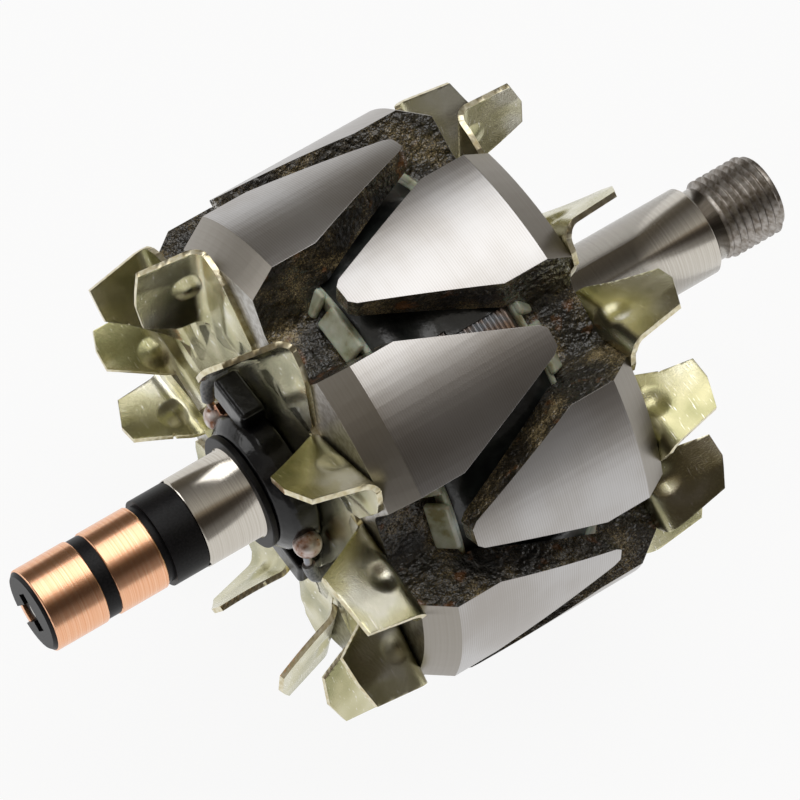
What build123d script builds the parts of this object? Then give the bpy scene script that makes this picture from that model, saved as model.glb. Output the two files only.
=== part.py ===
"""Claw-pole rotor of a vehicle alternator.

The shaft lies along X. The origin is on its axis, halfway between the two claw poles.
-X is the slip-ring end, +X the threaded drive end. Angles are measured round X, from +Y towards +Z.
"""
from build123d import *
from math import asin, cos, degrees, hypot, radians, sin
import os

os.makedirs("parts", exist_ok=True)

# Shaft, millimetres. Positions along X are measured from the middle of the poles.
journal_r = 8.5
seat_r = 8.75
shoulder_r = 11.0
shoulder_length = 9.0
relief_r = 7.0
thread_r = 7.82
thread_chamfer = 1.0
drive_journal_end = 62.5
slip_end_shortfall = 0.3
relief_length = 2.6
thread_length = 12.1
journal_chamfer = 0.5
slip_journal_inner = -34.6
slip_journal_length = 11.4
spigot_r = 4.0
spigot_length = 26.0
pip_r = 1.6
pip_depth_below_cap = 0.6

# How far a cut runs past the face it opens, and how near two points count as one
cut_overrun = 1.0
same_place = 0.01

# Poles
pole_r = 46.59
pole_end = 25.0
disc_thickness = 11.5
cone_length = 5.27
cone_depth = 3.79
valley_depth = 12.09
valley_fillet = 3.0
claws_per_pole = 6
claw_half_width = 12.5
claw_taper_start = 11.0
claw_reach = 13.45
claw_tip_half = 1.7
claw_tip_chamfer = 1.1
claw_tip_thickness = 4.0
claw_root_thickness = 7.6
drive_pole_angle = 30.0

# Core, bobbin, winding
winding_depth = 11.1
bobbin_bore_gap = 0.2
bobbin_wall = 1.2
flange_thickness = 1.2
flange_claw_gap = 0.49
tape_claw_gap = 0.99
tape_thickness = 0.5
petal_length = 3.0
petal_floor_gap = 0.5
petal_centre_gap = 1.7
petal_side_gap = 0.5

# Fans
sheet = 1.5
fan_bore_gap = 0.3
fan_hub_r = 28.5
arm_root_lap = 1.7
blade_rim_in = 1.59
blade_inner_r = 30.0
blade_sweep = 17.0
bend_outer_r = 3.5
blade_height_outer = 11.6
blade_apex_height = 14.0
blade_apex_in = 4.5
blade_height_inner = 12.8
blade_inner_tip_in = 11.4
arm_tip_angle = 3.0
arm_shoulder_in = 3.3
arm_shoulder_angle = 8.7
arm_waist_out = 1.9
arm_widest_angle = 17.5
arm_next_blade_gap = 18.0
slip_fan_angles = [18, 55.4, 91.5, 127.3, 161, 190, 219, 250, 279, 304, 328.5, 350]
drive_fan_angles = [22, 58, 97, 129, 156, 186, 209, 238, 268, 298, 326, 353]

# Slip rings and their moulding
ring_r = 7.88
ring_wall = 1.68
ring_width = 10.4
inner_ring_width = 9.6
ring_band_width = 2.5
ring_band_r = 7.6
cap_thickness = 0.6
cap_face_r = 7.0
neck_r = 8.3
neck_groove_r = 7.4
neck_groove_width = 1.3
cap_slot_width = 3.3
cap_slot_depth = 1.2
cap_bar_length = 7.2
cap_slot_angle = 300.0

# Conductors in the shaft grooves
groove_width = 3.2
groove_angle = 25.0
conductor_width = 2.4
conductor_inner_r = 4.6
conductor_thickness = 1.2
conductor_tail_x = -30.4
tongue_sink = 0.2

# Terminal carrier and its flange
flange_plate_thickness = 1.6
flange_plate_half = 12.3
flange_small_cut = 2.6
flange_large_cut = 6.0
flange_plate_turn = 15.0
carrier_r = 13.3
arm_start_y = 4.0
arm_past_block = 3.3
arm_low_z = 7.6
arm_high_z = 14.0
arm_height = 4.4
arm_corner = 1.2

# Leads from the winding to the carrier
wire_r = 0.75
sleeve_r = 1.25
lead_above_floor = 1.9
lead_angle = 30.0
lead_channel_depth = 1.6
lead_rise_out = 7.3
lead_rise_angle = 19.0
lead_corner = 1.0
wire_sides = 6
sleeve_share = 0.5
lead_hole_gap = 0.5
lead_channel_gap = 0.35
solder_size = 4.4
solder_edge = 1.3
solder_out = 1.1
solder_z = 1.4
hook_width = 2.2
hook_thickness = 0.8
hook_out = 1.6
hook_side = 0.9
hook_above = 1.2
hook_below = 1.4

cone_end_r = pole_r - cone_depth
valley_floor_r = pole_r - valley_depth
flange_r = pole_r - claw_root_thickness - flange_claw_gap
tape_r = pole_r - claw_root_thickness - tape_claw_gap
coil_r = tape_r - tape_thickness
coil_bore_r = coil_r - winding_depth
bobbin_bore_r = coil_bore_r - bobbin_wall
core_r = bobbin_bore_r - bobbin_bore_gap
blade_root_r = pole_r - blade_rim_in
arm_shoulder_r = blade_root_r - arm_shoulder_in
arm_waist_r = fan_hub_r + arm_waist_out
arm_inner_r = fan_hub_r - arm_root_lap
disc_inner = pole_end - disc_thickness
coil_half = disc_inner - flange_thickness
fan_outer_face = pole_end + sheet
slip_journal_outer = slip_journal_inner - slip_journal_length
cap_front = slip_end_shortfall - (drive_journal_end + relief_length + thread_length)
ring_front = cap_front + cap_thickness
band_front = ring_front + ring_width
inner_ring_front = band_front + ring_band_width
neck_front = inner_ring_front + inner_ring_width
ring_bore_r = ring_r - ring_wall
flange_plate_front = slip_journal_inner
carrier_front = flange_plate_front + flange_plate_thickness
carrier_back = -fan_outer_face
fan_bore_r = shoulder_r + fan_bore_gap
channel_x = -(pole_end - lead_channel_depth)
deck_x = conductor_tail_x + wire_r
arm_end_y = carrier_r + arm_past_block
lead_valley_r = valley_floor_r + lead_above_floor
lead_rise_r = carrier_r + lead_rise_out
solder_y = carrier_r + solder_out


def turned(corners):
    """A turned solid from the (x, radius) corners of half of its section."""
    return revolve(make_face(Polyline(*corners, close=True)), Axis.X)


def ring_of(x_from, x_to, r_in, r_out):
    """A plain ring or tube round the shaft."""
    return turned([(x_from, r_in), (x_to, r_in), (x_to, r_out), (x_from, r_out)])


def around(angle):
    """A turn about the shaft axis."""
    return Rot(X=angle)


def polar(x, r, angle):
    """A point at this radius and angle round the shaft."""
    return (x, r * cos(radians(angle)), r * sin(radians(angle)))


def section_prism(face, x_from, x_to):
    """A face drawn in Y and Z, carried along X."""
    return Pos(X=x_from) * extrude(Plane.YZ * face, amount=x_to - x_from)


def groove_block(x_from, x_to, r_in, r_out, width):
    """A straight key-like block in the plane of the shaft groove."""
    block = Box(x_to - x_from, r_out - r_in, width)
    return around(groove_angle) * Pos((x_from + x_to) / 2, (r_in + r_out) / 2, 0) * block


def both(shape):
    """A shape and its copy on the other side of the shaft."""
    return shape + around(180) * shape


def make_shaft():
    """The shaft: spigot, slip-ring journal, pole seat, shoulder, drive journal, relief and thread."""
    spigot_end = slip_journal_outer - spigot_length
    relief_end = drive_journal_end + relief_length
    thread_end = relief_end + thread_length
    body = turned([
        (cap_front + pip_depth_below_cap, 0),
        (cap_front + pip_depth_below_cap, pip_r),
        (spigot_end, pip_r),
        (spigot_end, spigot_r),
        (slip_journal_outer, spigot_r),
        (slip_journal_outer, journal_r - journal_chamfer),
        (slip_journal_outer + journal_chamfer, journal_r),
        (slip_journal_inner, journal_r),
        (slip_journal_inner, seat_r),
        (pole_end, seat_r),
        (pole_end, shoulder_r),
        (pole_end + shoulder_length, shoulder_r),
        (pole_end + shoulder_length, journal_r),
        (drive_journal_end - journal_chamfer, journal_r),
        (drive_journal_end, journal_r - journal_chamfer),
        (drive_journal_end, relief_r),
        (relief_end, relief_r),
        (relief_end, thread_r - thread_chamfer),
        (relief_end + thread_chamfer, thread_r),
        (thread_end - thread_chamfer, thread_r),
        (thread_end, thread_r - thread_chamfer),
        (thread_end, 0),
    ])
    grooves = groove_block(slip_journal_outer - cut_overrun, carrier_back, spigot_r,
                           seat_r + cut_overrun, groove_width)
    return body - both(grooves)


def pole_plan():
    """The claw seen from outside: parallel at its root, then tapering to a small blunt tip."""
    tip_chamfer_half = claw_tip_half + claw_tip_chamfer
    half = [
        (pole_end, claw_half_width),
        (claw_taper_start, claw_half_width),
        (-(claw_reach - claw_tip_chamfer), tip_chamfer_half),
        (-claw_reach, claw_tip_half),
    ]
    other = [(x, -w) for x, w in reversed(half)]
    return make_face(Polyline(*half, *other, close=True))


def rim_section():
    """The pole's root section: the hub disc with six claw roots and rounded valley corners."""
    root = Rectangle(2 * pole_r, 2 * claw_half_width)
    star = Circle(valley_floor_r)
    for step in range(claws_per_pole // 2):
        star += Rot(Z=step * 360 / claws_per_pole) * root
    inner = [v for v in star.vertices() if hypot(v.X, v.Y) < pole_r]
    return fillet(inner, valley_fillet)


def make_pole():
    """A drive-side pole, claws reaching back towards the origin, one claw centred on +Y."""
    turned_form = turned([
        (pole_end, seat_r),
        (pole_end, cone_end_r),
        (pole_end - cone_length, pole_r),
        (-claw_reach, pole_r),
        (-claw_reach, pole_r - claw_tip_thickness),
        (coil_half, pole_r - claw_root_thickness),
        (disc_inner, pole_r - claw_root_thickness),
        (disc_inner, seat_r),
    ])
    outline = section_prism(rim_section(), claw_taper_start, pole_end)
    claw = extrude(Plane.XZ * pole_plan(), amount=-pole_r)
    for step in range(claws_per_pole):
        outline += around(step * 360 / claws_per_pole) * claw
    return turned_form & outline


def lead_channel():
    """The groove in the slip-ring pole's end face that carries a winding lead under the fan."""
    depth = lead_channel_depth + sleeve_r + lead_channel_gap
    start = polar(0, lead_valley_r, lead_angle)
    stop = polar(0, lead_rise_r, lead_rise_angle)
    run = Vector(*stop) - Vector(*start)
    plane = Plane(origin=(-pole_end, start[1], start[2]), x_dir=run, z_dir=(1, 0, 0))
    width = 2 * (sleeve_r + lead_channel_gap)
    long_part = Pos(run.length / 2, 0) * Rectangle(run.length, width)
    end_part = Pos(run.length, 0) * Circle(width / 2)
    return extrude(plane * (long_part + end_part), amount=depth)


def make_core():
    return ring_of(-disc_inner, disc_inner, seat_r, core_r)


def petal_pair():
    """Two moulded petals that fold over the inner edge of one valley floor, on the drive side."""
    inner_r = valley_floor_r + petal_floor_gap
    half_gap_angle = 180 / claws_per_pole - degrees(asin(claw_half_width / inner_r))
    side = inner_r * sin(radians(half_gap_angle)) - petal_side_gap
    outline = Pos((inner_r + flange_r) / 2, (petal_centre_gap + side) / 2)
    outline *= Rectangle(flange_r - inner_r, side - petal_centre_gap)
    petal = section_prism(outline, disc_inner, disc_inner + petal_length)
    return petal + mirror(petal, about=Plane.XY)


def make_bobbin():
    """The moulded bobbin: tube, two flanges, and petals in every valley of both poles."""
    half = turned([
        (0, bobbin_bore_r),
        (disc_inner, bobbin_bore_r),
        (disc_inner, flange_r),
        (coil_half, flange_r),
        (coil_half, coil_bore_r),
        (0, coil_bore_r),
    ])
    pair = petal_pair()
    first_valley = 180 / claws_per_pole
    drive_side = half
    slip_side = half
    for step in range(claws_per_pole):
        turn = first_valley + step * 360 / claws_per_pole
        drive_side += around(turn + drive_pole_angle) * pair
        slip_side += around(-turn) * pair
    slip_side = mirror(slip_side, about=Plane.YZ)
    notch = Box(2 * petal_length, 2 * petal_length, 2 * (wire_r + lead_channel_gap))
    notch = around(lead_angle) * Pos(-disc_inner, lead_valley_r, 0) * notch
    return drive_side + slip_side - both(notch)


def make_winding():
    return ring_of(-coil_half, coil_half, coil_bore_r, coil_r)


def make_tape():
    return ring_of(-coil_half, coil_half, coil_r, tape_r)


def blade_frame():
    """The fold line of one blade: its outer end, its direction inwards, the arm side and its length."""
    outer = Vector(0, blade_root_r, 0)
    inner = Vector(*polar(0, blade_inner_r, -blade_sweep))
    along = (inner - outer).normalized()
    across = Vector(0, along.Z, -along.Y)
    return outer, along, across, (inner - outer).length


def make_blade(spacing):
    """One arm of the sheet with its folded blade, on the drive side, the fold starting on +Y."""
    outer, along, across, length = blade_frame()
    reach = blade_root_r
    section = make_face(Polyline(
        (0, 0), (reach, 0), (reach, sheet), (sheet, sheet),
        (sheet, blade_apex_height + sheet), (0, blade_apex_height + sheet), close=True,
    ))
    corners = section.vertices()
    inside = [v for v in corners if abs(v.X - sheet) < same_place and abs(v.Y - sheet) < same_place]
    section = fillet(inside, bend_outer_r - sheet)
    outside = [v for v in section.vertices() if hypot(v.X, v.Y) < same_place]
    section = fillet(outside, bend_outer_r)
    start = outer + along * reach + Vector(pole_end, 0, 0)
    bent = extrude(Plane(origin=start, x_dir=across, z_dir=-along) * section, amount=2 * reach)

    widest = min(arm_widest_angle, spacing - arm_next_blade_gap)
    shoulder = min(arm_shoulder_angle, widest)
    rim = [(blade_root_r, 0), (blade_root_r, arm_tip_angle), (arm_shoulder_r, shoulder),
           (arm_waist_r, widest), (arm_inner_r, widest), (arm_inner_r, -blade_sweep),
           (blade_inner_r, -blade_sweep)]
    plan = make_face(Polyline(*[polar(0, r, a)[1:] for r, a in rim], close=True))
    rounded = [v for v in plan.vertices() if abs(hypot(v.X, v.Y) - arm_shoulder_r) < same_place]
    plan = fillet(rounded, bend_outer_r)
    arm = section_prism(plan, pole_end, pole_end + blade_apex_height + sheet)

    root_in = length - (length - blade_inner_tip_in) * sheet / blade_height_inner
    side = make_face(Polyline(
        (-reach, 0), (2 * reach, 0), (2 * reach, sheet), (root_in, sheet),
        (blade_inner_tip_in, blade_height_inner), (blade_apex_in, blade_apex_height),
        (0, blade_height_outer), (0, sheet), (-reach, sheet), close=True,
    ))
    side_plane = Plane(origin=outer + Vector(pole_end, 0, 0), x_dir=along, z_dir=across)
    trim = extrude(side_plane * side, amount=reach)
    return bent & arm & trim


def make_fan(angles):
    """A pressed fan on the drive side: hub disc, twelve unevenly spaced arms and folded blades."""
    fan = ring_of(pole_end, fan_outer_face, fan_bore_r, fan_hub_r)
    for number, angle in enumerate(angles):
        spacing = (angles[(number + 1) % len(angles)] - angle) % 360
        fan += around(angle) * make_blade(spacing)
    return fan


def lead_end(share):
    """A point this share of the way from the fan hole to the solder joint, where the lead ends."""
    rise = Vector(*polar(deck_x, lead_rise_r, lead_rise_angle))
    return rise + (Vector(deck_x, solder_y, solder_z) - rise) * share


def bent_route(*points):
    """A route with each corner taken in two short turns."""
    corners = [Vector(*p) for p in points]
    route = [corners[0]]
    for before, corner, after in zip(corners, corners[1:], corners[2:]):
        route.append(corner + (before - corner).normalized() * lead_corner)
        route.append(corner + (after - corner).normalized() * lead_corner)
    return Polyline(*route, corners[-1])


def lead_route():
    """The winding lead's route: over the valley, in along the pole's end face, out through the fan."""
    return bent_route(
        polar(-coil_half, lead_valley_r, lead_angle),
        polar(channel_x, lead_valley_r, lead_angle),
        polar(channel_x, lead_rise_r, lead_rise_angle),
        polar(deck_x, lead_rise_r, lead_rise_angle),
        lead_end(1.0),
    )


def sleeve_route():
    """The stretch of the lead that has a sleeve: out through the fan, then towards the joint."""
    return bent_route(
        polar(channel_x - lead_corner, lead_rise_r, lead_rise_angle),
        polar(deck_x, lead_rise_r, lead_rise_angle),
        lead_end(sleeve_share),
    )


def swept(path, radius):
    """A wire along a path, with few enough sides for so small a piece."""
    plane = Plane(origin=path @ 0, z_dir=path % 0)
    section = plane * RegularPolygon(radius, wire_sides, major_radius=False)
    return sweep(section, path=path, transition=Transition.RIGHT)


def conductor(ring_front_x, ring_width_here):
    """A flat strip from under a ring, along the shaft groove, then out through the carrier."""
    start = ring_front_x + ring_width_here / 2 - conductor_width / 2
    outer = conductor_inner_r + conductor_thickness
    strip = groove_block(start, conductor_tail_x + conductor_thickness, conductor_inner_r, outer,
                         conductor_width)
    foot = groove_block(start, start + conductor_width, outer, ring_r, conductor_width)
    foot &= Rot(Y=90) * Pos(Z=start + conductor_width / 2) * Cylinder(ring_bore_r, 2 * conductor_width)
    tail = groove_block(conductor_tail_x, conductor_tail_x + conductor_thickness, outer, carrier_r,
                        conductor_width)
    return strip + foot + tail


def make_slip_body(conductors):
    """The moulding: end cap, ring seats, insulating band, neck, and tongues in the shaft grooves."""
    body = turned([
        (cap_front, 0),
        (cap_front, cap_face_r),
        (ring_front, ring_band_r),
        (ring_front, ring_bore_r),
        (band_front, ring_bore_r),
        (band_front, ring_band_r),
        (inner_ring_front, ring_band_r),
        (inner_ring_front, ring_bore_r),
        (neck_front, ring_bore_r),
        (neck_front, neck_groove_r),
        (neck_front + neck_groove_width, neck_groove_r),
        (neck_front + neck_groove_width, neck_r),
        (slip_journal_outer, neck_r),
        (slip_journal_outer, 0),
    ])
    tongues = both(groove_block(slip_journal_outer, carrier_back, spigot_r,
                                journal_r - tongue_sink, groove_width))
    slot = Pos(cap_front, journal_r / 2, 0) * Box(2 * cap_slot_depth, journal_r, cap_slot_width)
    bar = Pos(cap_front, 0, 0) * Box(2 * cap_slot_depth, cap_slot_width, cap_bar_length)
    recess = around(cap_slot_angle) * (slot + bar)
    return body + tongues - shaft - recess - conductors[0] - conductors[1]


def make_ring(front, width):
    return ring_of(front, front + width, ring_bore_r, ring_r)


def make_flange():
    """The washer in front of the carrier: square, with two small and two large cut corners."""
    half, small, large = flange_plate_half, flange_small_cut, flange_large_cut
    outline = Polyline(
        (half, half - large), (half - large, half), (small - half, half), (-half, half - small),
        (-half, large - half), (large - half, -half), (half - small, -half), (half, small - half),
        close=True,
    )
    face = Rot(Z=flange_plate_turn) * make_face(outline) - Circle(seat_r)
    return section_prism(face, flange_plate_front, carrier_front)


def hook():
    """The terminal hook: a strip from the conductor's end, bent down to the solder joint."""
    outline = Polyline(
        polar(0, carrier_r, groove_angle)[1:],
        polar(0, carrier_r + hook_out, groove_angle)[1:],
        (solder_y + hook_side, solder_z + hook_above),
        (solder_y + hook_side / 2, solder_z - hook_below),
    )
    strip = trace(outline, line_width=hook_thickness)
    return section_prism(strip, conductor_tail_x, conductor_tail_x + hook_width)


def make_carrier(conductors):
    """The moulded carrier: a round block with two channel arms, one on each side of the shaft."""
    block = ring_of(carrier_front, carrier_back, seat_r, carrier_r)
    arm = Pos((arm_start_y + arm_end_y) / 2, (arm_low_z + arm_high_z) / 2)
    arm *= Rectangle(arm_end_y - arm_start_y, arm_high_z - arm_low_z)
    arm = chamfer(arm.vertices(), arm_corner)
    arms = both(section_prism(arm, carrier_back - arm_height, carrier_back))
    arms -= ring_of(carrier_front, carrier_back, 0, seat_r)
    return block + arms - conductors[0] - conductors[1]


shaft = make_shaft()
drive_pole = make_pole()
slip_pole = mirror(drive_pole, about=Plane.YZ)
outer_conductor = conductor(ring_front, ring_width)
inner_conductor = around(180) * conductor(inner_ring_front, inner_ring_width)
conductors = (outer_conductor, inner_conductor)
lead = swept(lead_route(), wire_r)
sleeve = swept(sleeve_route(), sleeve_r) - lead
slip_body = make_slip_body(conductors)
lead_room = swept(lead_route(), sleeve_r + lead_channel_gap)
carrier = make_carrier(conductors) - both(lead_room)
upper_hook = hook() - carrier - outer_conductor - lead
solder = Box(solder_size, solder_size, solder_size)
solder = Pos(deck_x, solder_y, solder_z) * chamfer(solder.edges().filter_by(Axis.X), solder_edge)
upper_solder = solder - lead - hook() - sleeve - carrier - outer_conductor
slip_fan = mirror(make_fan(slip_fan_angles), about=Plane.YZ)
lead_hole = Rot(Y=90) * Cylinder(sleeve_r + lead_hole_gap, 4 * pole_end)
slip_fan -= both(Pos(polar(0, lead_rise_r, lead_rise_angle)) * lead_hole)

pieces = {
    "shaft": shaft,
    "slip_ring_end_pole": slip_pole - both(lead_channel()),
    "drive_end_pole": around(drive_pole_angle) * drive_pole,
    "pole_core": make_core(),
    "coil_bobbin": make_bobbin(),
    "field_winding": make_winding(),
    "winding_tape": make_tape(),
    "slip_ring_end_fan": slip_fan,
    "drive_end_fan": make_fan(drive_fan_angles),
    "slip_ring_body": slip_body,
    "outer_slip_ring": make_ring(ring_front, ring_width),
    "inner_slip_ring": make_ring(inner_ring_front, inner_ring_width),
    "outer_ring_conductor": outer_conductor,
    "inner_ring_conductor": inner_conductor,
    "terminal_carrier": carrier,
    "carrier_flange": make_flange(),
    "upper_winding_lead": lead,
    "lower_winding_lead": around(180) * lead,
    "upper_lead_sleeve": sleeve,
    "lower_lead_sleeve": around(180) * sleeve,
    "upper_terminal_hook": upper_hook,
    "lower_terminal_hook": around(180) * upper_hook,
    "upper_solder_joint": upper_solder,
    "lower_solder_joint": around(180) * upper_solder,
}

for name, piece in pieces.items():
    export_step(piece, f"parts/{name}.step")
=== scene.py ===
import bmesh
import bpy
from math import cos, hypot, pi, radians, sin, tan
from mathutils import Matrix, Vector


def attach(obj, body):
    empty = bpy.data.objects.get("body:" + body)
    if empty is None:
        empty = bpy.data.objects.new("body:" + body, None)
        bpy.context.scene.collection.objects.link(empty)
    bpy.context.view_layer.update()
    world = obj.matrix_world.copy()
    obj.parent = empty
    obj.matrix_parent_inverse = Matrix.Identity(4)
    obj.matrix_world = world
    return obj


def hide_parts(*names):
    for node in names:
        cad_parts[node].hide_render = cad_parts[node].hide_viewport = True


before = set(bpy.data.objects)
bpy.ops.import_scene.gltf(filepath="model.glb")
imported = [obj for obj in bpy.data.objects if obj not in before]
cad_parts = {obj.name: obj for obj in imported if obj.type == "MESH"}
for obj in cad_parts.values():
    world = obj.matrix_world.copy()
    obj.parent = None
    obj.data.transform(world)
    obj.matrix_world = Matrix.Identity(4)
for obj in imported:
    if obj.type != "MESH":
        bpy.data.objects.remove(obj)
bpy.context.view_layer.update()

# Shaft. One bar of steel, turned and then ground on both journals. The drive end has a shoulder for
# the fan, a relief neck and a rolled thread. The middle is hidden in the poles.
mm = 0.001
round_steps = 120
journal_r = 8.5
journal_chamfer = 0.5
journals_from, journals_to = -46.0, 62.5
seat_r = 8.75
seat_from = -34.6
shoulder_r = 11.0
shoulder_from, shoulder_to = 25.0, 34.0
spigot_r = 4.0
pin_r = 1.6
pin_from, pin_to = -76.3, -72.0
neck_r = 7.0
thread_root_r, thread_crest_r, thread_end_r = 6.9, 7.82, 6.82
thread_pitch = 1.5
thread_from, thread_to = 65.1, 77.2
thread_run_in = 2.2
thread_steps = 72
recess_rim_r, recess_r = 5.9, 5.6
recess_x = 76.9


def add(tree, kind, inputs=None, **settings):
    """A shader node with its settings; each input is a value, or a socket that is linked to it."""
    node = tree.nodes.new("ShaderNode" + kind)
    for name, value in settings.items():
        setattr(node, name, value)
    for key, value in (inputs or {}).items():
        if isinstance(value, bpy.types.NodeSocket):
            tree.links.new(value, node.inputs[key])
        else:
            node.inputs[key].default_value = value
    return node


def noise(tree, place, scale, detail, **inputs):
    """Cloudy patches: scale says how many to a millimetre, detail how many finer layers."""
    inputs |= {"Vector": place, "Scale": scale, "Detail": detail}
    return add(tree, "TexNoise", inputs).outputs["Fac"]


def ramp(tree, factor, *stops):
    """A colour ramp from (position, colour) stops; a colour may be one grey number."""
    node = add(tree, "ValToRGB", {"Fac": factor})
    elements = node.color_ramp.elements
    while len(elements) < len(stops):
        elements.new(0.5)
    for element, (position, colour) in zip(elements, stops):
        element.position = position
        element.color = (colour,) * 3 + (1,) if isinstance(colour, (int, float)) else (*colour, 1)
    return node.outputs["Color"]


def bump(tree, shader, height, strength, distance):
    """A bump of this height, in millimetres of the given distance, on the shader and on its coat."""
    node = add(tree, "Bump", {"Height": height, "Strength": strength, "Distance": distance * mm})
    tree.links.new(node.outputs["Normal"], shader.inputs["Normal"])
    if shader.inputs["Coat Weight"].default_value > 0:
        tree.links.new(node.outputs["Normal"], shader.inputs["Coat Normal"])


def new_finish(name, **inputs):
    """A material with its Principled shader set, and Object coordinates in millimetres."""
    finish = bpy.data.materials.new(name)
    finish.use_nodes = True
    tree = finish.node_tree
    shader = tree.nodes["Principled BSDF"]
    for key, value in inputs.items():
        shader.inputs[key.replace("_", " ")].default_value = value
    coords = add(tree, "TexCoord").outputs["Object"]
    place = add(tree, "Mapping", {"Vector": coords, "Scale": (1000, 1000, 1000)}).outputs["Vector"]
    return finish, tree, shader, place


def patchy_finish(name, scale, detail, stops, relief=None, **inputs):
    """A finish that takes its colours, and its relief's strength and distance, from one noise."""
    finish, tree, shader, place = new_finish(name, **inputs)
    patches = noise(tree, place, scale, detail)
    tree.links.new(ramp(tree, patches, *stops), shader.inputs["Base Color"])
    if relief:
        bump(tree, shader, patches, *relief)
    return finish


def spun(corners, steps=round_steps):
    """A surface turned about the shaft axis from (x, radius) corners in millimetres."""
    form = bmesh.new()
    row = [form.verts.new((x * mm, 0, r * mm)) for x, r in corners]
    edges = [form.edges.new(pair) for pair in zip(row, row[1:])]
    bmesh.ops.spin(form, geom=row + edges, cent=(0, 0, 0), axis=(1, 0, 0), angle=2 * pi,
                   steps=steps, use_merge=True)
    bmesh.ops.remove_doubles(form, verts=form.verts, dist=0.001 * mm)
    bmesh.ops.recalc_face_normals(form, faces=form.faces)
    return form


def join(form, part):
    """Moves the faces of one form into another."""
    mesh = bpy.data.meshes.new("part")
    part.to_mesh(mesh)
    part.free()
    form.from_mesh(mesh)
    bpy.data.meshes.remove(mesh)


def soften(piece, width, segments, angle):
    """Rounds a piece's sharper edges, and keeps its large faces evenly shaded."""
    soft = piece.modifiers.new("softened_edges", "BEVEL")
    soft.width = width * mm
    soft.segments = segments
    soft.limit_method = "ANGLE"
    soft.angle_limit = radians(angle)
    even = piece.modifiers.new("even_shading", "WEIGHTED_NORMAL")
    even.weight = 50


def placed(name, data, replaced):
    """The piece's object, riding on the rotor in place of its node."""
    piece = bpy.data.objects.new(name, data)
    bpy.context.scene.collection.objects.link(piece)
    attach(piece, "root")
    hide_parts(replaced)
    return piece


def finished(form, name, finishes, replaced, bevel=0.15, bevel_steps=2):
    """The piece made from a form: smooth faces, its finishes and softened edges."""
    mesh = bpy.data.meshes.new(name)
    form.to_mesh(mesh)
    form.free()
    mesh.polygons.foreach_set("use_smooth", [True] * len(mesh.polygons))
    for finish in finishes:
        mesh.materials.append(finish)
    piece = placed(name, mesh, replaced)
    if bevel:
        soften(piece, bevel, bevel_steps, 28)
    return piece


shaft = spun([
    (pin_from, 0), (pin_from, pin_r), (pin_to, pin_r), (pin_to, spigot_r),
    (journals_from, spigot_r), (journals_from, journal_r - journal_chamfer),
    (journals_from + journal_chamfer, journal_r), (seat_from, journal_r),
    (seat_from, seat_r), (shoulder_from, seat_r), (shoulder_from, shoulder_r),
    (shoulder_to, shoulder_r), (shoulder_to, journal_r),
    (journals_to - journal_chamfer, journal_r), (journals_to, journal_r - journal_chamfer),
    (journals_to, neck_r), (thread_from, neck_r), (thread_from, thread_end_r),
])
join(shaft, spun([(thread_to, thread_end_r), (thread_to, recess_rim_r), (recess_x, recess_r),
                  (recess_x, 0)]))

thread = bmesh.new()
turns = round((thread_to - thread_from) / thread_pitch) + 3
tooth = [(0, thread_root_r), (0.1, thread_root_r), (0.65, thread_crest_r), (0.8, thread_crest_r),
         (1.35, thread_root_r), (thread_pitch, thread_root_r)]
row = [thread.verts.new(((thread_from - thread_run_in + x) * mm, 0, r * mm)) for x, r in tooth]
edges = [thread.edges.new(pair) for pair in zip(row, row[1:])]
bmesh.ops.spin(thread, geom=row + edges, cent=(0, 0, 0), axis=(1, 0, 0), angle=2 * pi * turns,
               steps=thread_steps * turns, dvec=(thread_pitch / thread_steps * mm, 0, 0))
bmesh.ops.remove_doubles(thread, verts=thread.verts, dist=0.002 * mm)
for cut_x, side in ((thread_from, -1), (thread_to, 1)):
    bmesh.ops.bisect_plane(thread, geom=thread.verts[:] + thread.edges[:] + thread.faces[:],
                           plane_co=(cut_x * mm, 0, 0), plane_no=(side, 0, 0), clear_outer=True)
# both ends are chamfered at 45 degrees
for v in thread.verts:
    from_end = min(v.co.x - thread_from * mm, thread_to * mm - v.co.x)
    limit = min(1, (thread_end_r * mm + max(from_end, 0)) / hypot(v.co.y, v.co.z))
    v.co.y *= limit
    v.co.z *= limit
bmesh.ops.recalc_face_normals(thread, faces=thread.faces)
join(shaft, thread)
# the thread and the wall behind it have the rolled finish
for face in shaft.faces:
    face.material_index = int(face.calc_center_median().x > (thread_from - 0.1) * mm)

# the turning lines that more than one metal part shows
lines = bpy.data.node_groups.new("turning_lines", "ShaderNodeTree")
for name, way, kind in (("Place", "INPUT", "Vector"), ("Pitch", "INPUT", "Float"),
                        ("Height", "OUTPUT", "Float"), ("Streak", "OUTPUT", "Float")):
    lines.interface.new_socket(name, in_out=way, socket_type="NodeSocket" + kind)
lines_in = lines.nodes.new("NodeGroupInput")
lines_out = lines.nodes.new("NodeGroupOutput")
along = add(lines, "SeparateXYZ", {"Vector": lines_in.outputs["Place"]}).outputs["X"]
count = add(lines, "Math", {0: along, 1: lines_in.outputs["Pitch"]}, operation="DIVIDE").outputs[0]
phase = add(lines, "Math", {0: count, 1: 2 * pi}, operation="MULTIPLY").outputs[0]
wave = add(lines, "Math", {0: phase}, operation="SINE").outputs[0]
uneven = add(lines, "TexNoise", {"W": along, "Scale": 3.1, "Detail": 3.0},
             noise_dimensions="1D").outputs["Fac"]
depth = add(lines, "Math", {0: wave, 1: uneven}, operation="MULTIPLY").outputs[0]
lines.links.new(depth, lines_out.inputs["Height"])
lines.links.new(uneven, lines_out.inputs["Streak"])


def turning(tree, place, pitch):
    """The turning lines' group in this material: its Height and Streak."""
    node = tree.nodes.new("ShaderNodeGroup")
    node.node_tree = lines
    tree.links.new(place, node.inputs["Place"])
    node.inputs["Pitch"].default_value = pitch
    return node.outputs


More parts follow.
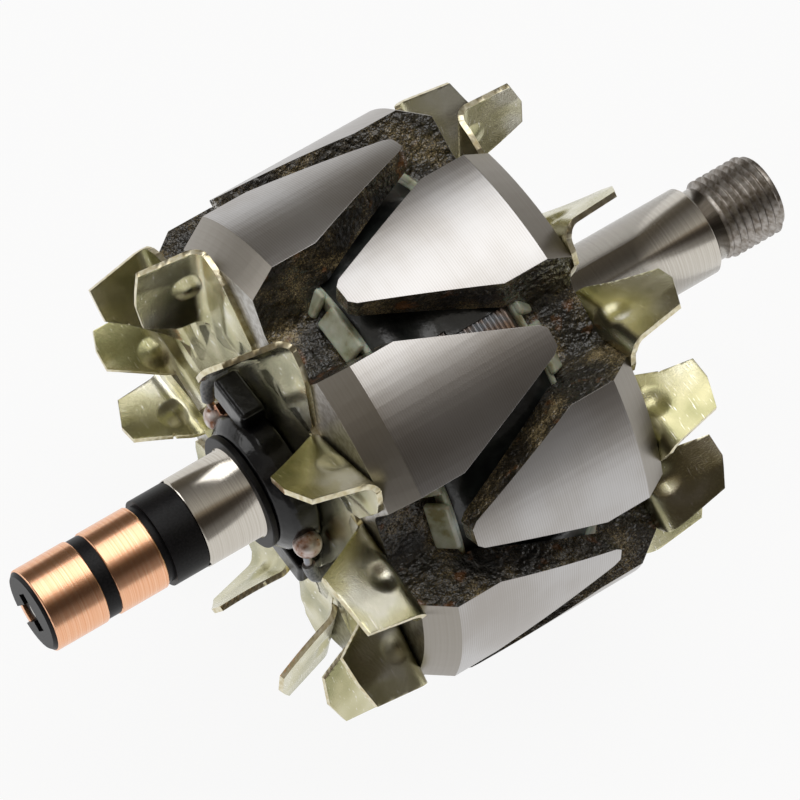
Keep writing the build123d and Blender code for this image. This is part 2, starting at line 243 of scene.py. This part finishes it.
def turned_finish(name, pitch, stops, relief=None, **inputs):
    """A turned metal, streaked round the axis, with the tool's lines as its relief."""
    finish, tree, shader, place = new_finish(name, Metallic=1.0, **inputs)
    marks = turning(tree, place, pitch)
    tree.links.new(ramp(tree, marks["Streak"], *stops), shader.inputs["Base Color"])
    if relief:
        bump(tree, shader, marks["Height"], *relief)
    return finish


ground = turned_finish(
    "ground_steel", 0.31, [(0.3, (0.54, 0.50, 0.44)), (0.7, (0.62, 0.585, 0.52))], Roughness=0.17)
rolled = patchy_finish(
    "thread_steel", 0.9, 5.0, [(0.35, (0.20, 0.17, 0.14)), (0.65, (0.46, 0.43, 0.40))],
    relief=(0.2, 0.01), Metallic=1.0, Roughness=0.38)
finished(shaft, "turned_shaft", [ground, rolled], "shaft", bevel=0)

# Pole core. A plain steel cylinder pressed on the shaft between the poles, wholly hidden.
core_half = 13.5
core_r = 25.0
core = spun([(-core_half, seat_r), (core_half, seat_r), (core_half, core_r), (-core_half, core_r),
             (-core_half, seat_r)], steps=64)
core_steel = turned_finish("core_steel", 0.5, [(0.3, 0.3), (0.7, 0.42)], Roughness=0.5)
finished(core, "round_core", [core_steel], "pole_core")

# Coil bobbin. One moulding of pale nylon: a tube, two flanges, and rounded petals that slope out of
# each flange over the valleys' inner edges. The varnish bath has left it glossy.
coil_half = 12.3
coil_bore_r = 26.4
bobbin_bore_r = 25.2
flange_r = 38.4
valleys = 6
# each valley's two petals: how far round from its middle they stand, in degrees, and their width
petals = ((2.5, 9.4), (-12.5, 6.4))
petal_length, petal_thick = 4.8, 1.5
petal_x, petal_r = 14.6, 36.7
petal_slope = 52
bobbin = spun([(-coil_half, coil_bore_r), (-coil_half, flange_r), (-core_half, flange_r),
               (-core_half, bobbin_bore_r), (core_half, bobbin_bore_r), (core_half, flange_r),
               (coil_half, flange_r), (coil_half, coil_bore_r), (-coil_half, coil_bore_r)], steps=144)
# each is made at the top and turned to its place
for side, first_valley in ((-1, 30), (1, 0)):
    for valley in range(valleys):
        for offset, width in petals:
            turned_to = radians(first_valley + 360 / valleys * valley + offset - 90)
            bmesh.ops.create_cube(bobbin, size=mm, matrix=(
                Matrix.Rotation(turned_to, 4, "X")
                @ Matrix.Translation((side * petal_x * mm, 0, petal_r * mm))
                @ Matrix.Rotation(radians(side * petal_slope), 4, "Y")
                @ Matrix.Diagonal((petal_length, width, petal_thick, 1))))
nylon = patchy_finish(
    "varnished_nylon", 0.3, 5.0,
    [(0.34, (0.30, 0.28, 0.14)), (0.46, (0.52, 0.55, 0.40)), (0.64, (0.68, 0.72, 0.60))],
    relief=(0.4, 0.3), Roughness=0.35, Coat_Weight=1.0, Coat_Roughness=0.05,
    Subsurface_Weight=0.25, Subsurface_Scale=0.002)
finished(bobbin, "moulded_bobbin", [nylon], "coil_bobbin", bevel=0.6, bevel_steps=3)

# Field winding. Turns of enamelled copper wire laid side by side; its outer layer is modelled turn
# by turn, because a few of them show where the tape stops short.
wire_pitch = 0.86
wire_centre_r = 37.05
wire_steps = 6
rows = [(-coil_half, coil_bore_r), (-coil_half, wire_centre_r)]
for turn in range(int(2 * coil_half / wire_pitch)):
    centre = (turn + 0.5) * wire_pitch - coil_half
    for step in range(wire_steps):
        angle = pi - (step + 0.5) * pi / wire_steps
        rows.append((centre + wire_pitch / 2 * cos(angle), wire_centre_r + wire_pitch / 2 * sin(angle)))
rows += [(coil_half, wire_centre_r), (coil_half, coil_bore_r), (-coil_half, coil_bore_r)]
enamel = patchy_finish(
    "enamelled_wire", 0.5, 3.0, [(0.42, (0.30, 0.32, 0.36)), (0.66, (0.36, 0.24, 0.17))],
    Metallic=0.6, Roughness=0.3, Coat_Weight=1.0, Coat_Roughness=0.08)
finished(spun(rows, steps=144), "wound_coil", [enamel], "field_winding", bevel=0)

# Winding tape. Black tape wrapped over the coil and soaked in varnish. It stops short of the drive
# side in one place, where a few turns of the wire show.
tape_bore_r, tape_r = 37.5, 38.0
window_from, window_to = radians(108), radians(115)
window_front = -1.0
tape = spun([(-coil_half, tape_bore_r), (-coil_half, tape_r), (-6.2, tape_r), (-6.1, 37.85),
             (0.2, 37.95), (0.3, tape_r), (6.3, 37.9), (6.4, tape_r), (coil_half, tape_r),
             (coil_half, tape_bore_r)], steps=180)
in_window = []
for v in tape.verts:
    angle = Vector((v.co.y, v.co.z)).angle_signed(Vector((1, 0))) % (2 * pi)
    if window_from < angle < window_to and v.co.x > window_front * mm:
        in_window.append(v)
bmesh.ops.delete(tape, geom=in_window, context="VERTS")
cloth = patchy_finish(
    "varnished_tape", 0.3, 6.0, [(0.4, (0.007, 0.008, 0.008)), (0.7, (0.022, 0.026, 0.024))],
    relief=(0.6, 0.5), Roughness=0.45, Coat_Weight=0.8, Coat_Roughness=0.16)
finished(tape, "wrapped_tape", [cloth], "winding_tape", bevel=0)

# Claw poles. Two steel forgings on the shaft, whose claws mesh without touching. Their outsides are
# turned together after pressing on; the flanks and valleys keep the forged skin under the varnish.
pole_r = 46.59
pole_end = 25.0
cone_from = 19.73
claws_from_r = 40.0
# how squarely a face looks out from the axis, where it is turned
outside_facing, cone_facing = 0.97, 0.6
pole_steps = 120


def merged(node):
    """A CAD node's loose triangles, joined and cleared into whole faces."""
    form = bmesh.new()
    form.from_mesh(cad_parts[node].data)
    bmesh.ops.remove_doubles(form, verts=form.verts, dist=0.002 * mm)
    bmesh.ops.dissolve_limit(form, angle_limit=radians(0.6), verts=form.verts, edges=form.edges)
    return form


def surface_of(face):
    """0 forged and varnished, 1 turned outside, 2 turned cone, 3 faced end."""
    centre = face.calc_center_median()
    outward = face.normal.dot(Vector((0, centre.y, centre.z)).normalized())
    if abs(centre.x) > (pole_end - 0.01) * mm:
        return 3
    if hypot(centre.y, centre.z) > claws_from_r * mm and outward > outside_facing:
        return 1
    if abs(centre.x) > cone_from * mm and outward > cone_facing:
        return 2
    return 0


def dressed_pole(node):
    """A pole's mesh with finer turned faces, and each face given the finish of its own surface."""
    form = merged(node)
    for step in range(pole_steps):
        angle = pi * (step + 0.5) / pole_steps
        outside = [f for f in form.faces if surface_of(f) in (1, 2)]
        geometry = list({e for f in outside for e in f.edges} | {v for f in outside for v in f.verts})
        bmesh.ops.bisect_plane(form, geom=geometry + outside, dist=0.0005 * mm,
                               plane_co=(0, 0, 0), plane_no=(0, cos(angle), sin(angle)))
    for face in form.faces:
        face.material_index = surface_of(face)
    for v in {v for f in form.faces if f.material_index == 1 for v in f.verts}:
        scale = pole_r * mm / hypot(v.co.y, v.co.z)
        v.co.y *= scale
        v.co.z *= scale
    return form


varnish, tree, shader, place = new_finish("varnished_forging", Metallic=0.2, Roughness=0.3,
                                          Coat_Weight=1.0, Coat_Roughness=0.06)
grain = noise(tree, place, 3.4, 6.0, Roughness=0.75)
lumps = noise(tree, place, 0.7, 2.0)
cloud = noise(tree, place, 0.14, 4.0)
shade = add(tree, "Math", {0: cloud, 1: 0.45}, operation="MULTIPLY").outputs[0]
mixed = add(tree, "Math", {0: grain, 1: 0.55, 2: shade}, operation="MULTIPLY_ADD").outputs[0]
soaked = ramp(tree, mixed, (0.43, (0.006, 0.005, 0.003)), (0.50, (0.026, 0.019, 0.009)),
              (0.55, (0.10, 0.075, 0.035)), (0.61, (0.48, 0.37, 0.19)))
rusted = add(tree, "MapRange", {"Value": noise(tree, place, 0.22, 6.0), "From Min": 0.62,
                                "From Max": 0.70, "To Max": 0.6}).outputs[0]
stained = add(tree, "Mix", {0: rusted, 6: soaked, 7: (0.30, 0.11, 0.02, 1)}, data_type="RGBA")
tree.links.new(stained.outputs[2], shader.inputs["Base Color"])
relief = add(tree, "Math", {0: lumps, 1: 5.0, 2: grain}, operation="MULTIPLY_ADD").outputs[0]
bump(tree, shader, relief, strength=1.0, distance=0.2)
# the coat lies over the lumps alone, as the varnish has filled the grain
wet = add(tree, "Bump", {"Height": lumps, "Strength": 1.0, "Distance": 1.1 * mm}).outputs["Normal"]
tree.links.new(wet, shader.inputs["Coat Normal"])

turned, tree, shader, place = new_finish("turned_steel", Metallic=1.0, Roughness=0.33)
marks = turning(tree, place, 0.45)
cloud = noise(tree, place, 0.05, 3.0)
tone = add(tree, "Math", {0: marks["Height"], 1: 0.16, 2: cloud}, operation="MULTIPLY_ADD").outputs[0]
tree.links.new(ramp(tree, tone, (0.36, (0.40, 0.375, 0.35)), (0.64, (0.53, 0.52, 0.515))),
               shader.inputs["Base Color"])
bump(tree, shader, marks["Height"], strength=0.3, distance=0.012)

# the chamfer cone is the same turned steel as the outside, given a darker tone: painted shade for the
# chamfer that faces away from the light
cone = turned_finish(
    "turned_cone_painted_shade", 0.6, [(0.3, (0.33, 0.305, 0.27)), (0.7, (0.355, 0.33, 0.295))],
    relief=(0.15, 0.01), Roughness=0.38)
faced = patchy_finish(
    "faced_steel", 0.8, 6.0, [(0.4, (0.42, 0.40, 0.37)), (0.6, (0.60, 0.59, 0.57))],
    relief=(0.3, 0.05), Metallic=1.0, Roughness=0.4)
for node, name in (("slip_ring_end_pole", "slip_side_claws"), ("drive_end_pole", "drive_side_claws")):
    finished(dressed_pole(node), name, [varnish, turned, cone, faced], node, bevel=0.3)

# Fans. One on each pole's end face: a pressed steel sheet whose twelve arms carry folded blades,
# spaced unevenly to keep the fan quiet. The sheet is zinc plated and yellow passivated.
sheet = 1.0
sheet_x = pole_end + sheet / 2
hub_bore_r, hub_r = 11.3, 28.5
fold_from = Vector((45.0, 0.0))
fold_length = 18.5
fold_along = Vector((-0.8807, -0.4736))
fold_across = Vector((fold_along.y, -fold_along.x))
bend_r = 3.0
outer_bend_r = bend_r + sheet / 2
blank_middle = (9.75, -1.5)
blank_half = (11.75, 16.0)
blank_steps = (42, 58)
# a blade's outline is cut beyond blade_from on the blank and starts at its heel; a side that falls
# more steeply than steep is its inner edge, which ends at the fold or at a corner near it
blade_from = -0.8
heel = (-1.0, 1.5)
steep = 0.8
lowest_corner = 3.0
dimple_at = (7.8, 3.4)
dimple_r, dimple_core = 3.4, 0.2
dimple_depth = 0.7
ridge_middle, ridge_core, ridge_edge = (10.0, 8.6), (4.5, 0.0), (7.5, 2.4)
ridge_height = 0.4
curl_from = (5.0, 3.0)
curl = 0.012
# degrees round the fan: what an arm leaves free before the next blade, and its full width
next_blade_gap, widest_arm = 18.0, 17.5
# corners of a blade, along and above its fold, from its outer end inwards
usual = [(0.6, 12.2), (6.5, 14.5), (11.4, 14.2)]
# each blade's place round the fan and how far it leans out, in degrees, and its corners
slip_fan_blades = [
    (18.0, 3.0, [(1.3, 12.9), (7.6, 12.7), (10.0, 9.2)]),
    (55.4, 11.0, [(0.1, 11.8), (8.0, 13.0), (13.4, 12.5), (17.5, 6.3)]),
    (91.5, 8.0, usual),
    (127.3, 13.0, [(0.1, 11.9), (5.4, 14.1), (10.8, 13.7)]),
    (161.0, 17.0, [(-0.2, 11.8), (12.4, 12.9), (14.7, 7.8)]),
    (190.0, 18.0, [(0.9, 11.7), (5.9, 12.9), (11.3, 13.3)]),
    (219.0, 8.0, [(1.4, 11.1), (6.6, 13.2), (12.1, 12.5)]),
    (250.0, 18.0, usual),
    (279.0, 10.0, [(1.4, 12.0), (6.5, 14.5), (11.4, 14.2)]),
    (304.0, 10.0, usual),
    (328.5, 0.0, [(-0.4, 10.3), (4.9, 12.8), (8.5, 12.6), (11.8, 6.3), (14.8, 0.9)]),
    (350.0, 0.0, [(-1.1, 10.9), (2.3, 12.3), (6.3, 12.5), (11.4, 4.8), (13.1, 2.0)]),
]
drive_fan_blades = [
    (22.0, 2.5, usual),
    (58.0, 2.5, usual),
    (100.0, 1.0, usual),
    (129.0, 3.0, [(0.6, 12.0), (7.6, 15.2), (12.1, 15.2), (14.8, 7.7)]),
    (156.0, 3.0, [(1.0, 11.8), (6.7, 13.9), (11.0, 14.0), (12.0, 8.0), (13.9, 3.2)]),
    (186.0, 3.0, [(1.0, 12.4), (6.2, 14.8), (10.5, 14.5), (12.2, 4.8)]),
    (209.0, 2.5, usual),
    (238.0, 2.5, usual),
    (268.0, 2.5, usual),
    (298.0, 2.5, usual),
    (326.0, 2.5, usual),
    (353.0, 2.5, usual),
]


def trim(form, start, end, low=None, high=None):
    """Cuts the flat blank along a line, clearing what is right of it between two heights."""
    for level in (low, high):
        if level is not None:
            bmesh.ops.bisect_plane(form, geom=form.verts[:] + form.edges[:] + form.faces[:],
                                   dist=0.0001, plane_co=(0, level, 0), plane_no=(0, 1, 0))
    run = Vector(end) - Vector(start)
    faces = [f for f in form.faces if (low is None or f.calc_center_median().y > low)
             and (high is None or f.calc_center_median().y < high)]
    geometry = list({v for f in faces for v in f.verts}) + list({e for f in faces for e in f.edges})
    bmesh.ops.bisect_plane(form, geom=geometry + faces, dist=0.0001, plane_co=(*start, 0),
                           plane_no=(run.y, -run.x, 0), clear_outer=True)


def fade(value, edge, core):
    """0 beyond the edge, 1 within the core, and a smooth slope between them."""
    share = min(1.0, max(0.0, (edge - value) / (edge - core)))
    return share * share * (3 - 2 * share)


def blade(lean, corners, room):
    """One arm and its blade, cut from a flat blank and folded up. Room is the arm's share of its
    full width; on the blank X runs along the fold, the arm is at +Y and the blade at -Y."""
    bend = radians(90 - lean)
    inset = outer_bend_r * tan(bend / 2)
    arc = bend_r * bend

    def flat(s, h):
        return s, -(arc + (h - outer_bend_r + bend_r * cos(bend)) / sin(bend))

    form = bmesh.new()
    bmesh.ops.create_grid(form, x_segments=blank_steps[0], y_segments=blank_steps[1], size=1.0)
    bmesh.ops.scale(form, vec=(*blank_half, 1), verts=form.verts)
    bmesh.ops.translate(form, vec=(*blank_middle, 0), verts=form.verts)

    # the blade's edge from its outer end, over the top and down to the fold; once it falls
    # steeply, each cut keeps to its own heights
    trim(form, flat(*heel), flat(*corners[0]), high=blade_from)
    chain = corners + ([(fold_length, 0.0)] if corners[-1][1] > lowest_corner else [])
    falling = False
    for (s0, h0), (s1, h1) in zip(chain, chain[1:]):
        start, end = flat(s0, h0), flat(s1, h1)
        if falling or h0 - h1 > steep * (s1 - s0):
            trim(form, start, end, low=start[1] if falling else None, high=min(end[1], blade_from))
            falling = True
        else:
            trim(form, start, end, high=blade_from)

    # the arm's edges, inner end first, as places along the fold and in from it
    far, near = outer_bend_r + 12.8 * room, outer_bend_r + 12.1 * room
    arm_edges = (((20.8, 0.0), (20.8, 6.0)), ((21.0, 5.5), (13.3, 16.3)), ((13.3, far), (9.4, near)),
                 ((9.77, near + 0.03 * room), (0.34, 7.35)), ((1.2, 8.1), (-0.6, 4.7)),
                 ((0.0, 6.5), (-1.07, 2.1)))
    for (s0, n0), (s1, n1) in arm_edges:
        trim(form, (s0, n0 - inset), (s1, n1 - inset))

    dimple = Vector((*flat(*dimple_at), 0))
    close = [e for e in form.edges
             if ((e.verts[0].co + e.verts[1].co) / 2 - dimple).length < dimple_r + 0.1]
    bmesh.ops.subdivide_edges(form, edges=close, cuts=2, use_grid_fill=True)
    for v in form.verts:
        s, w = v.co.x, v.co.y
        turn = min(max(-w, 0.0) / bend_r, bend)
        rest = max(-w - arc, 0.0)
        n = inset + max(w, 0.0) - bend_r * sin(turn) - rest * cos(bend)
        h = outer_bend_r - bend_r * cos(turn) + rest * sin(bend)
        press = dimple_depth * fade((v.co - dimple).length, dimple_r, dimple_core)
        press += (ridge_height * fade(abs(s - ridge_middle[0]), ridge_edge[0], ridge_core[0])
                  * fade(abs(inset + w - ridge_middle[1]), ridge_edge[1], ridge_core[1]))
        n += press * sin(turn) + curl * max(0.0, s - curl_from[0]) * max(0.0, h - curl_from[1])
        h += press * cos(turn)
        flat_place = fold_from + fold_along * s + fold_across * n
        v.co = Vector((pole_end + h, flat_place.x, flat_place.y)) * mm
    return form


def pressed_fan(blades, side):
    """A fan's mid-surface; its sheet thickness is added by Solidify."""
    fan = spun([(sheet_x, hub_bore_r), (sheet_x, hub_r)])
    for number, (angle, lean, corners) in enumerate(blades):
        spacing = (blades[(number + 1) % len(blades)][0] - angle) % 360
        form = blade(lean, corners, min(1.0, (spacing - next_blade_gap) / widest_arm))
        bmesh.ops.rotate(form, cent=(0, 0, 0), matrix=Matrix.Rotation(radians(angle), 3, "X"),
                         verts=form.verts)
        join(fan, form)
    bmesh.ops.scale(fan, vec=(side, 1, 1), verts=fan.verts)
    bmesh.ops.recalc_face_normals(fan, faces=fan.faces)
    return fan


zinc, tree, shader, place = new_finish("passivated_zinc", Metallic=1.0)
spangle = noise(tree, place, 3.2, 5.0, Roughness=0.7)
cloud = noise(tree, place, 0.09, 2.0, Distortion=0.2)
plated = ramp(tree, cloud, (0.34, (0.33, 0.32, 0.17)), (0.46, (0.50, 0.47, 0.28)),
              (0.56, (0.62, 0.59, 0.40)), (0.66, (0.74, 0.72, 0.60)))
drawn_out = add(tree, "Mapping", {"Vector": place, "Rotation": (0.5, 0.7, 0.2),
                                  "Scale": (5.0, 0.35, 0.7)}).outputs[0]
scuffed = add(tree, "MapRange", {"Value": noise(tree, drawn_out, 1.0, 2.0), "From Min": 0.66,
                                 "From Max": 0.72}).outputs[0]
worn = add(tree, "Mix", {0: scuffed, 6: plated, 7: (0.88, 0.86, 0.78, 1)}, data_type="RGBA")
tree.links.new(worn.outputs[2], shader.inputs["Base Color"])
dulled = add(tree, "MapRange", {"Value": spangle, "From Min": 0.3, "From Max": 0.7,
                                "To Min": 0.1, "To Max": 0.26}).outputs[0]
tree.links.new(dulled, shader.inputs["Roughness"])
bump(tree, shader, spangle, strength=0.6, distance=0.07)

sheared = patchy_finish(
    "sheared_edge", 1.1, 2.0, [(0.34, (0.60, 0.52, 0.32)), (0.66, (0.80, 0.75, 0.58))],
    Metallic=1.0, Roughness=0.3)
for name, node, blades, side in (("slip_side_fan", "slip_ring_end_fan", slip_fan_blades, -1),
                                 ("drive_side_fan", "drive_end_fan", drive_fan_blades, 1)):
    fan = finished(pressed_fan(blades, side), name, [zinc, sheared], node, bevel=0)
    wall = fan.modifiers.new("sheet_thickness", "SOLIDIFY")
    wall.thickness = sheet * mm
    wall.offset = 0
    wall.material_offset_rim = 1
    soften(fan, 0.2, 2, 40)

# Slip-ring body. Black thermoset moulded round the shaft's spigot, with an end cap that has an
# assembly slot, and an insulating band between the two rings.
moulding = patchy_finish(
    "satin_moulding", 2.5, 6.0, [(0.35, (0.006, 0.006, 0.007)), (0.65, (0.015, 0.014, 0.016))],
    relief=(0.3, 0.05), Roughness=0.4, Specular_IOR_Level=0.18)
finished(merged("slip_ring_body"), "ring_moulding", [moulding], "slip_ring_body",
         bevel=0.25)

# Slip rings. Two copper rings turned true on the moulding, each with fine turning lines and a
# small broken edge.
ring_r, ring_bore_r = 7.88, 6.2
ring_edge = 0.2
copper = turned_finish(
    "turned_copper", 0.28, [(0.3, (0.86, 0.42, 0.23)), (0.7, (0.95, 0.58, 0.38))],
    relief=(0.3, 0.004), Roughness=0.24)
for name, node, front, width in (("outer_ring", "outer_slip_ring", pin_from, 10.4),
                                 ("inner_ring", "inner_slip_ring", -63.4, 9.6)):
    back = front + width
    ring = spun([(front, ring_bore_r), (front, ring_r - ring_edge), (front + ring_edge, ring_r),
                 (back - ring_edge, ring_r), (back, ring_r - ring_edge), (back, ring_bore_r),
                 (front, ring_bore_r)])
    finished(ring, name, [copper], node)


# Conductors. Flat copper strips from under the rings, laid in the shaft's grooves. Only their tails
# come out, through the terminal carrier.
def shown_in_copper(node):
    """Gives a node that keeps its own mesh the rings' copper."""
    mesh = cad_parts[node].data
    mesh.materials.clear()
    mesh.materials.append(copper)


shown_in_copper("outer_ring_conductor")
shown_in_copper("inner_ring_conductor")

# Terminal carrier and flange. The carrier is a glossy black moulding, coned towards the bearing,
# with a bar on each side that covers the winding's ends; a round washer lies in front of it.
carrier_bore_r = 8.76
carrier_from, carrier_to = -33.4, -26.1
carrier_front_r, carrier_r = 10.9, 13.3
cone_back = -31.0
bar_size = (4.9, 9.6, 5.5)
bar_place = (-28.55, 8.8, 13.25)
washer_from, washer_to = seat_from, -33.42
gloss = patchy_finish(
    "gloss_moulding", 0.7, 5.0, [(0.35, (0.002, 0.002, 0.003)), (0.65, (0.007, 0.007, 0.008))],
    relief=(0.4, 0.2), Roughness=0.25, Specular_IOR_Level=0.2, Coat_Weight=0.35, Coat_Roughness=0.05)
carrier = spun([(carrier_from, carrier_bore_r), (carrier_from, carrier_front_r),
                (cone_back, carrier_r), (carrier_to, carrier_r), (carrier_to, carrier_bore_r),
                (carrier_from, carrier_bore_r)], steps=96)


def opposite(point, turn):
    """A point in metres from millimetres, turned half round the shaft where turn is -1."""
    x, y, z = point
    return Vector((x, turn * y, turn * z)) * mm


for turn in (1, -1):
    bmesh.ops.create_cube(carrier, size=mm, matrix=(
        Matrix.Translation(opposite(bar_place, turn)) @ Matrix.Diagonal((*bar_size, 1))))
finished(carrier, "lead_carrier", [gloss], "terminal_carrier", bevel=0.9,
         bevel_steps=4)
washer = spun([(washer_from, carrier_bore_r), (washer_from, carrier_front_r),
               (washer_to, carrier_front_r), (washer_to, carrier_bore_r),
               (washer_from, carrier_bore_r)], steps=96)
finished(washer, "round_washer", [moulding], "carrier_flange", bevel=0.2)

# Winding leads. Each end of the coil comes over the valley, in along the pole's face, and out
# through a hole in the fan to its terminal. A woven sleeve covers it where it passes the fan.
lead_r, sleeve_r = 0.75, 1.25
lead_points = [(-12.3, 31.52, 18.2), (-22.0, 31.52, 18.2), (-23.6, 30.4, 17.3), (-23.7, 19.8, 11.2),
               (-24.2, 17.4, 9.6), (-29.0, 17.0, 9.4), (-30.6, 16.7, 8.4), (-30.5, 15.2, 5.0),
               (-29.8, 13.9, 2.4)]
sleeve_points = [(-24.3, 17.3, 9.6), (-28.6, 17.0, 9.4), (-30.4, 16.8, 8.6), (-30.5, 15.6, 6.0)]
sleeving = patchy_finish(
    "varnished_sleeve", 2.0, 4.0, [(0.35, (0.16, 0.17, 0.19)), (0.65, (0.34, 0.36, 0.38))],
    relief=(0.5, 0.15), Roughness=0.5, Coat_Weight=0.7, Coat_Roughness=0.2)


def wire(name, points, radius, finish, turn):
    """A round wire on one smooth line that the points pull into shape."""
    curve = bpy.data.curves.new(name, "CURVE")
    curve.dimensions = "3D"
    curve.bevel_depth = radius * mm
    curve.bevel_resolution = 4
    curve.use_fill_caps = True
    line = curve.splines.new("NURBS")
    line.points.add(len(points) - 1)
    for control, point in zip(line.points, points):
        control.co = (*opposite(point, turn), 1)
    line.order_u = 3
    line.use_endpoint_u = True
    line.resolution_u = 8
    curve.materials.append(finish)
    return curve


for name, turn in (("upper", 1), ("lower", -1)):
    lead = wire(f"{name}_lead", lead_points, lead_r, enamel, turn)
    sleeve = wire(f"{name}_sleeve", sleeve_points, sleeve_r, sleeving, turn)
    placed(f"{name}_lead", lead, f"{name}_winding_lead")
    placed(f"{name}_sleeve", sleeve, f"{name}_lead_sleeve")

# Terminals. A copper hook from each conductor is closed on the lead and soldered; the joint
# is a lumpy, dull drop.
drop_r = 2.6
drop_place = (-29.7, 14.0, 1.9)
solder = patchy_finish(
    "dull_solder", 0.6, 6.0,
    [(0.35, (0.30, 0.12, 0.05)), (0.5, (0.62, 0.50, 0.46)), (0.65, (0.75, 0.70, 0.68))],
    relief=(0.6, 0.4), Metallic=0.6, Roughness=0.4, Coat_Weight=0.6, Coat_Roughness=0.15)
for name, turn in (("upper", 1), ("lower", -1)):
    drop = bmesh.new()
    bmesh.ops.create_icosphere(drop, subdivisions=4, radius=drop_r * mm,
                               matrix=Matrix.Translation(opposite(drop_place, turn)))
    finished(drop, f"{name}_solder", [solder], f"{name}_solder_joint", bevel=0)
    shown_in_copper(f"{name}_terminal_hook")

# Floor. A plain pale table that the rotor rests on by its claws. The camera sees it nearly white,
# and it keeps the soft shadow.
floor_z = -46.6
floor_half = 3000
seen_white = 0.92
floor_form = bmesh.new()
bmesh.ops.create_grid(floor_form, x_segments=1, y_segments=1, size=floor_half * mm,
                      matrix=Matrix.Translation((0, 0, floor_z * mm)))
floor_mesh = bpy.data.meshes.new("floor")
floor_form.to_mesh(floor_mesh)
floor_form.free()
paper, tree, shader = new_finish("pale_floor", Base_Color=(0.86, 0.86, 0.86, 1), Roughness=0.9,
                                 Specular_IOR_Level=0.0)[:3]
path = add(tree, "LightPath")
seen = add(tree, "Math", {0: path.outputs["Is Camera Ray"], 1: path.outputs["Is Glossy Ray"]},
           operation="MAXIMUM").outputs[0]
white = add(tree, "Emission", {"Color": (1, 1, 1, 1), "Strength": 1.0}).outputs[0]
share = add(tree, "Math", {0: seen, 1: seen_white}, operation="MULTIPLY").outputs[0]
mixed = add(tree, "MixShader", {0: share, 1: shader.outputs[0], 2: white}).outputs[0]
tree.links.new(mixed, tree.nodes["Material Output"].inputs["Surface"])
floor_mesh.materials.append(paper)
floor = bpy.data.objects.new("floor", floor_mesh)
bpy.context.scene.collection.objects.link(floor)

# Light and camera. One wide softbox overhead and a room that is pale at its far wall and dark
# behind the camera, which stands where the photograph was taken from.
world = bpy.data.worlds.new("room")
world.use_nodes = True
tree = world.node_tree
toward = add(tree, "SeparateXYZ", {"Vector": add(tree, "TexCoord").outputs["Generated"]})
across = add(tree, "Math", {0: toward.outputs["Z"], 1: toward.outputs["Y"]},
             operation="ARCTAN2").outputs[0]
half_turn = add(tree, "Math", {0: across, 1: pi}, operation="DIVIDE").outputs[0]
walls = ramp(tree, half_turn, (0.0, (0.16, 0.14, 0.11)), (0.14, (0.09, 0.08, 0.065)),
             (0.30, (0.22, 0.21, 0.20)), (0.56, (0.50, 0.48, 0.44)), (0.62, (0.26, 0.21, 0.15)),
             (0.68, (0.045, 0.036, 0.028)), (0.80, (0.05, 0.042, 0.034)), (0.90, (0.22, 0.21, 0.20)),
             (1.0, (0.30, 0.29, 0.28)))
tree.links.new(walls, tree.nodes["Background"].inputs["Color"])
bpy.context.scene.world = world


def softbox(name, stand, width, depth, power):
    """A rectangular lamp, sizes in metres, that faces the rotor's middle."""
    light = bpy.data.lights.new(name, "AREA")
    light.shape = "RECTANGLE"
    light.size = width
    light.size_y = depth
    light.energy = power
    holder = bpy.data.objects.new(name, light)
    holder.location = stand
    holder.rotation_euler = (-Vector(stand)).to_track_quat("-Z", "Y").to_euler()
    bpy.context.scene.collection.objects.link(holder)


softbox("overhead_softbox", (0.34, 0.25, 1.05), width=1.1, depth=0.8, power=5.0)
softbox("low_fill", (-0.9, 0.7, 0.35), width=0.5, depth=0.5, power=2.0)

# the photograph's width and its focal length, in pixels
picture_px, focal_px = 800, 5570.92
sensor_width = 36
azimuth, elevation, roll = -35.58919, 59.46705, 1.67287
camera_distance = 972.2083
camera_aim = Vector((-0.9387, 0, 0.0571))
camera_data = bpy.data.cameras.new("camera")
camera_data.sensor_width = sensor_width
camera_data.lens = sensor_width * focal_px / picture_px
camera_data.clip_end = 10
camera = bpy.data.objects.new("camera", camera_data)
camera.matrix_world = (
    Matrix.Translation(camera_aim * mm)
    @ Matrix.Rotation(radians(azimuth), 4, "Z")
    @ Matrix.Rotation(radians(90 - elevation), 4, "X")
    @ Matrix.Rotation(radians(roll), 4, "Z")
    @ Matrix.Translation((0, 0, camera_distance * mm)))
bpy.context.scene.collection.objects.link(camera)
bpy.context.scene.camera = camera
bpy.context.scene.view_settings.view_transform = "Standard"
